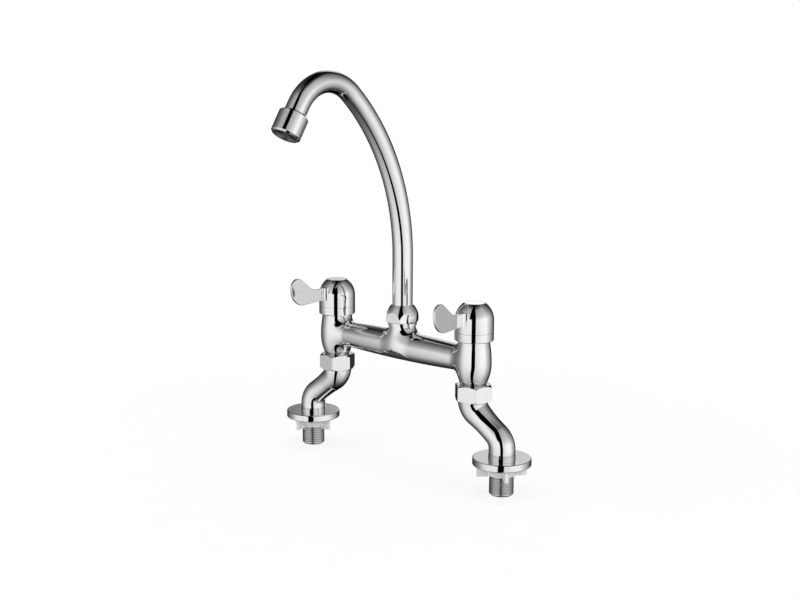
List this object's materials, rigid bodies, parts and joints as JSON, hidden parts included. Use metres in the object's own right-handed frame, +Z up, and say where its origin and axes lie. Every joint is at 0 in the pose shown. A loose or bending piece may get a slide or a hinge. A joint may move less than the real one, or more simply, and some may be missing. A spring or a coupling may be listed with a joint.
{
  "type": "bridge kitchen faucet",
  "caption": "Deck-mounted bridge faucet: lever valves on cranked legs joined by a swollen tube that carries a swivelling swan-neck spout.",
  "frame": {"origin": "on the deck plane, midway between the axes of the two valve bodies, which is also midway between the two threaded tails", "axes": "+X along the bridge towards the right-hand valve as a user sees it, +Y away from the user, +Z up along the valve bodies; the spout reaches towards -Y at rest"},
  "size_m": [0.2734, 0.176, 0.3532],
  "materials": {
    "chrome": "polished plating over brass",
    "brass": "turned",
    "stainless": "plain",
    "rubber": "matt",
    "ceramic": "lapped",
    "white_nylon": "moulded",
    "dark_plastic": "moulded"
  },
  "bodies": {
    "bridge": {"bridge_body": "chrome", "spout_nut": "chrome", "headwork_left": "brass", "headwork_right": "brass", "fixed_disc_left": "ceramic", "fixed_disc_right": "ceramic", "seat_seal_left": "rubber", "seat_seal_right": "rubber", "cover_ring_left": "chrome", "cover_ring_right": "chrome", "union_clip_left": "stainless", "union_clip_right": "stainless"},
    "handle_left": {"handle_left": "chrome", "index_cap_left": "chrome", "handle_screw_left": "stainless", "spindle_left": "brass", "spindle_clip_left": "stainless", "spindle_rings_left": "rubber", "moving_disc_left": "ceramic"},
    "handle_right": {"handle_right": "chrome", "index_cap_right": "chrome", "handle_screw_right": "stainless", "spindle_right": "brass", "spindle_clip_right": "stainless", "spindle_rings_right": "rubber", "moving_disc_right": "ceramic"},
    "spout": {"spout_tube": "chrome", "spout_spigot": "brass", "spout_rings": "rubber", "spout_slip_ring": "white_nylon", "aerator_housing": "chrome", "aerator_washer": "rubber", "aerator_insert": "dark_plastic", "aerator_mesh": "stainless"},
    "leg_left": {"leg_left": "chrome", "flange_left": "chrome", "deck_gasket_left": "rubber", "union_washer_left": "rubber"},
    "leg_right": {"leg_right": "chrome", "flange_right": "chrome", "deck_gasket_right": "rubber", "union_washer_right": "rubber"},
    "backnut_left": {"backnut_left": "white_nylon"},
    "backnut_right": {"backnut_right": "white_nylon"},
    "union_nut_left": {"union_nut_left": "chrome"},
    "union_nut_right": {"union_nut_right": "chrome"}
  },
  "joints": [
    {"name": "left_lever", "type": "hinge", "parent": "bridge", "child": "handle_left", "pos_m": [-0.0825, 0, 0.111], "axis": [0, 0, 1], "range_deg": [-90, 0]},
    {"name": "right_lever", "type": "hinge", "parent": "bridge", "child": "handle_right", "pos_m": [0.0825, 0, 0.111], "axis": [0, 0, 1], "range_deg": [-5, 85]},
    {"name": "spout_swivel", "type": "hinge", "parent": "bridge", "child": "spout", "pos_m": [0, 0, 0.114], "axis": [0, 0, 1], "continuous": true},
    {"name": "left_leg_swivel", "type": "hinge", "parent": "bridge", "child": "leg_left", "pos_m": [-0.0825, 0, 0.0585], "axis": [0, 0, 1], "continuous": true},
    {"name": "left_union_spin", "type": "hinge", "parent": "bridge", "child": "union_nut_left", "pos_m": [-0.0825, 0, 0.062], "axis": [0, 0, 1], "continuous": true},
    {"name": "left_backnut_travel", "type": "slide", "parent": "leg_left", "child": "backnut_left", "axis": [0, 0, -1], "range_m": [0, 0.015]},
    {"name": "right_leg_swivel", "type": "hinge", "parent": "bridge", "child": "leg_right", "pos_m": [0.0825, 0, 0.0585], "axis": [0, 0, 1], "continuous": true},
    {"name": "right_union_spin", "type": "hinge", "parent": "bridge", "child": "union_nut_right", "pos_m": [0.0825, 0, 0.062], "axis": [0, 0, 1], "continuous": true},
    {"name": "right_backnut_travel", "type": "slide", "parent": "leg_right", "child": "backnut_right", "axis": [0, 0, -1], "range_m": [0, 0.015]}
  ]
}
